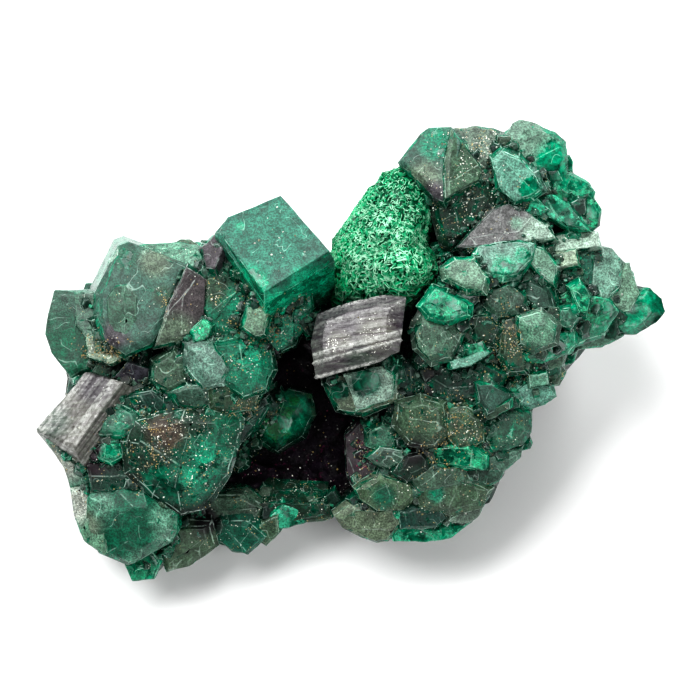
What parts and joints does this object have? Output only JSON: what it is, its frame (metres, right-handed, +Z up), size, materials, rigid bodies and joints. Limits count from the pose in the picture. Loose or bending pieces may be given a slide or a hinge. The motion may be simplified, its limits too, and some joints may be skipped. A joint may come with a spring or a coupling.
{
  "type": "dioptase specimen",
  "caption": "Mineral specimen: two clusters of blocky emerald-green crystals on dark rock, with a ball of velvety malachite and a striated grey prism, resting on its flat broken back.",
  "frame": {"origin": "middle of the underside of the whole specimen's box, on the flat broken face that it rests on", "axes": "+Z up, +X to the viewer's right along the longest side, +Y away from the viewer towards the higher back"},
  "size_m": [0.0628, 0.0462, 0.0241],
  "materials": {
    "dark_matrix": "rough broken rock, almost black with a purple cast and pale, golden and magenta grains",
    "emerald_dioptase": "glassy to satin crystal faces, dark emerald, clearer and brighter at thin edges, with pale worn edges",
    "velvet_malachite": "silky tufts of fine green needles, mint on top and deep green between",
    "grey_crystal": "satin grey prism faces with fine bright ridges along them"
  },
  "bodies": {
    "root": {"matrix_rock": "dark_matrix", "dioptase_left": "emerald_dioptase", "dioptase_right": "emerald_dioptase", "hollow_crystal": "emerald_dioptase", "malachite_ball": "velvet_malachite", "striated_crystal": "grey_crystal"}
  },
  "joints": []
}
